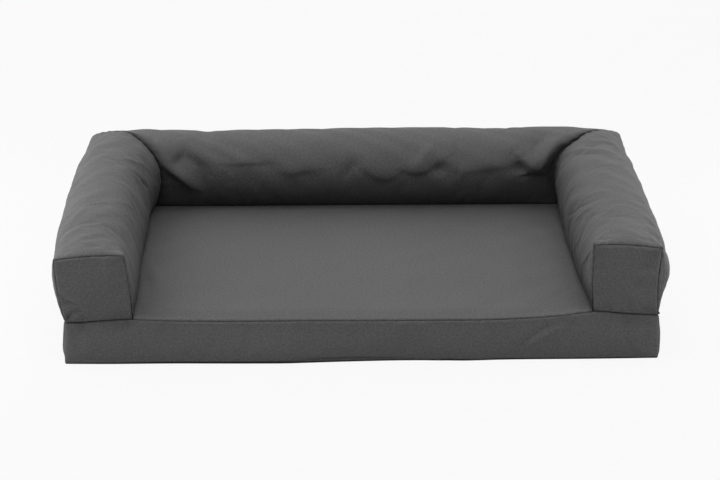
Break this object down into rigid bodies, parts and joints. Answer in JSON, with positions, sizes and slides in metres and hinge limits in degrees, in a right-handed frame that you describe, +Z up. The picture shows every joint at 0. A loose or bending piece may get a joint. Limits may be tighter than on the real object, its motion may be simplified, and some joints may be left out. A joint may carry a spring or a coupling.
{
  "type": "dog sofa bed",
  "caption": "Low rectangular foam pet bed in a grey woven cover, with a stuffed bolster along the rear and both sides, open in front, and a zip in the rear band.",
  "frame": {"origin": "centre of the base's underside, on the floor", "axes": "+X to the right along the open front, +Y from the open front to the rear bolster, +Z up"},
  "size_m": [0.7902, 0.5221, 0.1601],
  "materials": {
    "cover_cloth": "matte",
    "underside_cloth": "matte",
    "foam": "matte",
    "fibre_fill": "matte",
    "zip_tape": "matte",
    "zip_teeth": "satin",
    "zip_metal": "satin"
  },
  "bodies": {
    "bed": {"foam_core": "foam", "bottom_panel": "underside_cloth", "sleep_panel": "cover_cloth", "front_band": "cover_cloth", "left_band": "cover_cloth", "right_band": "cover_cloth", "rear_band_upper": "cover_cloth", "rear_band_lower": "cover_cloth", "left_arm_wrap": "cover_cloth", "right_arm_wrap": "cover_cloth", "back_wrap": "cover_cloth", "left_arm_end": "cover_cloth", "right_arm_end": "cover_cloth", "left_arm_fill": "fibre_fill", "right_arm_fill": "fibre_fill", "back_fill": "fibre_fill", "zip_tape_upper": "zip_tape", "zip_tape_lower": "zip_tape", "zip_teeth_upper": "zip_teeth", "zip_teeth_lower": "zip_teeth", "zip_top_stops": "zip_metal", "zip_bottom_stop": "zip_metal"},
    "slider": {"zip_slider": "zip_metal"},
    "pull": {"zip_pull": "zip_metal"}
  },
  "joints": [
    {"name": "zip_slide", "type": "slide", "parent": "bed", "child": "slider", "axis": [-1, 0, 0], "range_m": [0, 0.629]},
    {"name": "pull_swing", "type": "hinge", "parent": "slider", "child": "pull", "pos_m": [0.3145, 0.25675, 0.0305], "axis": [0, 0, -1], "range_deg": [0, 180]}
  ]
}
